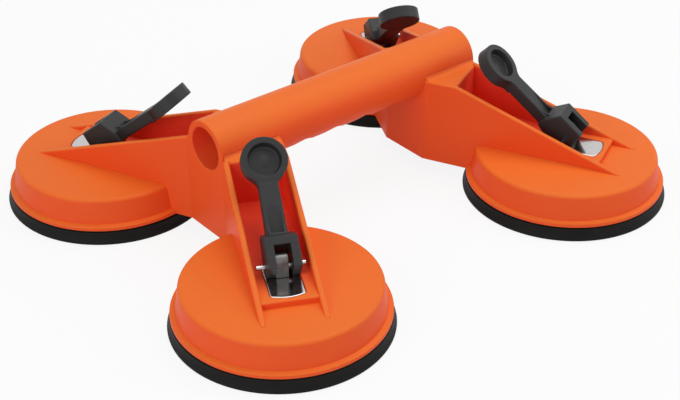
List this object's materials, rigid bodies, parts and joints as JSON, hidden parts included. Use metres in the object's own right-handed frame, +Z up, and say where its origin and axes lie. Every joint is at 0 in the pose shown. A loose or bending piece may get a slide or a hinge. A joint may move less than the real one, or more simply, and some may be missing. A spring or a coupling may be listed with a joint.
{
  "type": "quad suction cup lifter",
  "caption": "Hand lifter for smooth sheets: a hollow tube handle on splayed trough arms with round suction cups, each locked by a flip-over cam lever.",
  "frame": {"origin": "middle of the four pads on the ground plane", "axes": "+X along the handle tube towards its far end, +Y to the left, +Z up"},
  "size_m": [0.326, 0.2834, 0.0805],
  "materials": {
    "orange_plastic": "satin moulded",
    "black_rubber": "matte",
    "plain_steel": "plain",
    "polished_steel": "polished",
    "grey_plastic": "satin moulded"
  },
  "bodies": {
    "frame": {"handle_spine": "orange_plastic", "near_right_cup_shell": "orange_plastic", "near_right_trough_arm": "orange_plastic", "near_right_rubber_pad": "black_rubber", "near_right_wear_plate": "polished_steel", "near_left_cup_shell": "orange_plastic", "near_left_trough_arm": "orange_plastic", "near_left_rubber_pad": "black_rubber", "near_left_wear_plate": "polished_steel", "far_right_cup_shell": "orange_plastic", "far_right_trough_arm": "orange_plastic", "far_right_rubber_pad": "black_rubber", "far_right_wear_plate": "polished_steel", "far_left_cup_shell": "orange_plastic", "far_left_trough_arm": "orange_plastic", "far_left_rubber_pad": "black_rubber", "far_left_wear_plate": "polished_steel"},
    "near_right_lift": {"near_right_tongue": "plain_steel", "near_right_backing_plate": "plain_steel", "near_right_pivot_pin": "polished_steel"},
    "near_right_lever": {"near_right_cam_lever": "grey_plastic"},
    "near_left_lift": {"near_left_tongue": "plain_steel", "near_left_backing_plate": "plain_steel", "near_left_pivot_pin": "polished_steel"},
    "near_left_lever": {"near_left_cam_lever": "grey_plastic"},
    "far_right_lift": {"far_right_tongue": "plain_steel", "far_right_backing_plate": "plain_steel", "far_right_pivot_pin": "polished_steel"},
    "far_right_lever": {"far_right_cam_lever": "grey_plastic"},
    "far_left_lift": {"far_left_tongue": "plain_steel", "far_left_backing_plate": "plain_steel", "far_left_pivot_pin": "polished_steel"},
    "far_left_lever": {"far_left_cam_lever": "grey_plastic"}
  },
  "joints": [
    {"name": "near_right_tongue_slide", "type": "slide", "parent": "frame", "child": "near_right_lift", "axis": [0, 0, 1], "range_m": [0, 0.007]},
    {"name": "near_right_lever_hinge", "type": "hinge", "parent": "near_right_lift", "child": "near_right_lever", "pos_m": [-0.104, -0.0827, 0.035], "axis": [0.8988, -0.4384, 0], "range_deg": [0, 120]},
    {"name": "near_left_tongue_slide", "type": "slide", "parent": "frame", "child": "near_left_lift", "axis": [0, 0, 1], "range_m": [0, 0.007]},
    {"name": "near_left_lever_hinge", "type": "hinge", "parent": "near_left_lift", "child": "near_left_lever", "pos_m": [-0.104, 0.0827, 0.035], "axis": [-0.8988, -0.4384, 0], "range_deg": [0, 120]},
    {"name": "far_right_tongue_slide", "type": "slide", "parent": "frame", "child": "far_right_lift", "axis": [0, 0, 1], "range_m": [0, 0.007]},
    {"name": "far_right_lever_hinge", "type": "hinge", "parent": "far_right_lift", "child": "far_right_lever", "pos_m": [0.104, -0.0827, 0.035], "axis": [0.8988, 0.4384, 0], "range_deg": [0, 120]},
    {"name": "far_left_tongue_slide", "type": "slide", "parent": "frame", "child": "far_left_lift", "axis": [0, 0, 1], "range_m": [0, 0.007]},
    {"name": "far_left_lever_hinge", "type": "hinge", "parent": "far_left_lift", "child": "far_left_lever", "pos_m": [0.104, 0.0827, 0.035], "axis": [-0.8988, 0.4384, 0], "range_deg": [0, 120]}
  ],
  "couplings": [
    {"joint": "near_right_lever_hinge", "follows": "near_right_tongue_slide", "rad_per_m": 299.2},
    {"joint": "near_left_lever_hinge", "follows": "near_left_tongue_slide", "rad_per_m": 299.2},
    {"joint": "far_right_lever_hinge", "follows": "far_right_tongue_slide", "rad_per_m": 299.2},
    {"joint": "far_left_lever_hinge", "follows": "far_left_tongue_slide", "rad_per_m": 299.2}
  ]
}
